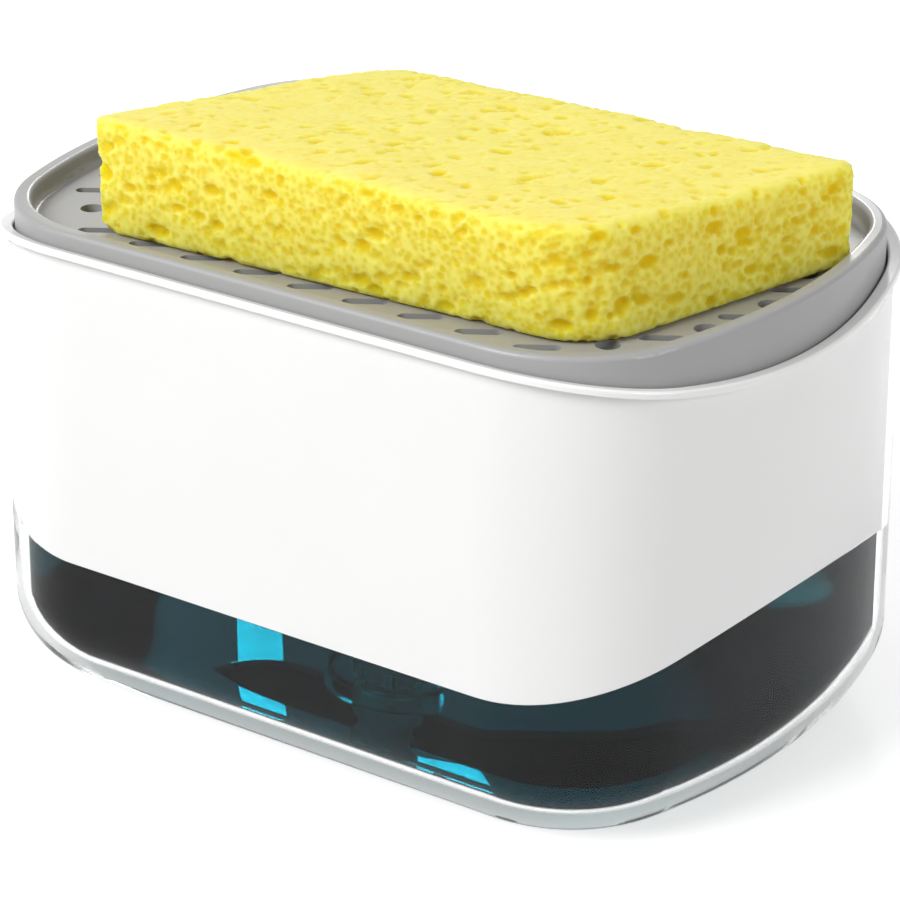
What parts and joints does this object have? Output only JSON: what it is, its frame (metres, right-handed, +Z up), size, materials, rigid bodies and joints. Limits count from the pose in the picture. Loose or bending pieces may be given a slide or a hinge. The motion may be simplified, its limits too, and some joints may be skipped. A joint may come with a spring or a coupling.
{
  "type": "soap pump caddy",
  "caption": "Clear soap tub with white sleeve, press-down drain tray over a spring piston pump, and a sponge on the tray.",
  "frame": {"origin": "middle of the footprint, on the surface that the caddy stands on", "axes": "+X along the long side, the long front faces -Y, +Z up"},
  "size_m": [0.15, 0.1044, 0.1046],
  "materials": {
    "clear_plastic": "clear, polished, injection moulded",
    "white_plastic": "white, glossy, injection moulded",
    "grey_plastic": "light grey, satin to glossy, injection moulded",
    "deck_plastic": "white, satin, injection moulded",
    "natural_plastic": "natural, slightly milky",
    "steel": "bright stainless steel",
    "silicone": "translucent soft silicone",
    "sponge": "yellow open-pored cellulose"
  },
  "bodies": {
    "tub": {"reservoir": "clear_plastic", "white_sleeve": "white_plastic", "foot_pads": "silicone"},
    "pump_unit": {"pump_deck": "deck_plastic", "deck_gasket": "silicone", "pump_cylinder": "natural_plastic", "cylinder_gasket": "silicone", "collar_nut": "white_plastic", "stem_guide": "natural_plastic", "ball_cage": "natural_plastic", "dip_tube": "natural_plastic", "inlet_strainer": "natural_plastic", "return_spring": "steel"},
    "inlet_valve": {"inlet_ball": "steel"},
    "plunger": {"press_tray": "grey_plastic", "soap_nozzle": "grey_plastic", "plunger_stem": "natural_plastic", "piston": "natural_plastic"},
    "outlet_valve": {"outlet_ball": "steel"},
    "sponge": {"sponge": "sponge"}
  },
  "joints": [
    {"name": "unit_lift", "type": "slide", "parent": "tub", "child": "pump_unit", "axis": [0, 0, 1], "range_m": [0, 0.095]},
    {"name": "tray_press", "type": "slide", "parent": "pump_unit", "child": "plunger", "axis": [0, 0, -1], "range_m": [0, 0.008], "stiffness_N_per_m": 500, "springref_m": -0.012, "deforming": ["return_spring"]},
    {"name": "inlet_lift", "type": "slide", "parent": "pump_unit", "child": "inlet_valve", "axis": [0, 0, 1], "range_m": [0, 0.0015]},
    {"name": "outlet_lift", "type": "slide", "parent": "plunger", "child": "outlet_valve", "axis": [0, 0, 1], "range_m": [0, 0.0015]},
    {"name": "sponge_lift", "type": "slide", "parent": "plunger", "child": "sponge", "axis": [0, 0, 1], "range_m": [0, 0.05]}
  ]
}
